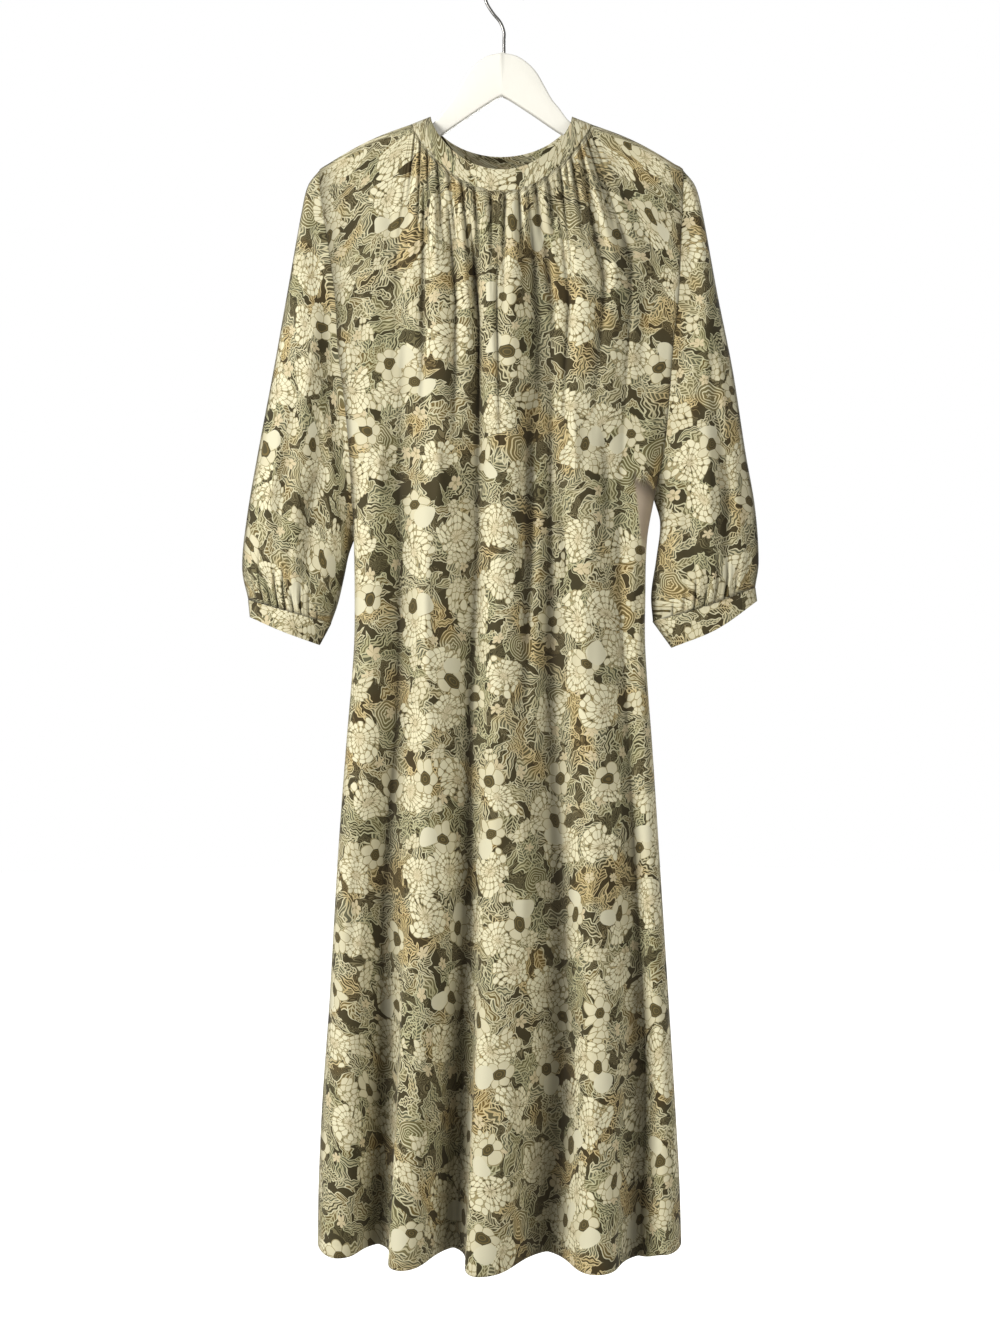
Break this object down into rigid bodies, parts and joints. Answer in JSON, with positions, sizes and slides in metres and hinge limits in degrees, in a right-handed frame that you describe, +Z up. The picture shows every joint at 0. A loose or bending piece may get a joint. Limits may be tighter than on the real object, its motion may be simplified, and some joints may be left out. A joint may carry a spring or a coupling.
{
  "type": "midi dress on a hanger",
  "caption": "Long-sleeved midi dress gathered into a round neckband, with gathered cuffs, hanging on an arched wooden hanger with a wire hook.",
  "frame": {"origin": "inside of the hook's crown, where the hook rests on a rail", "axes": "+Z up, the wearer's front faces -Y, +X is the viewer's right"},
  "size_m": [0.5787, 0.1462, 1.4435],
  "materials": {
    "dress_cloth": "soft matte woven cloth with a dense floral print in olive, khaki and cream",
    "hanger_paint": "smooth satin white paint on wood",
    "hook_steel": "bright drawn steel wire"
  },
  "bodies": {
    "root": {"dress_front": "dress_cloth", "dress_back": "dress_cloth", "neckband": "dress_cloth", "sleeve_left": "dress_cloth", "sleeve_right": "dress_cloth", "cuff_left": "dress_cloth", "cuff_right": "dress_cloth", "hanger": "hanger_paint", "hook": "hook_steel"}
  },
  "joints": []
}
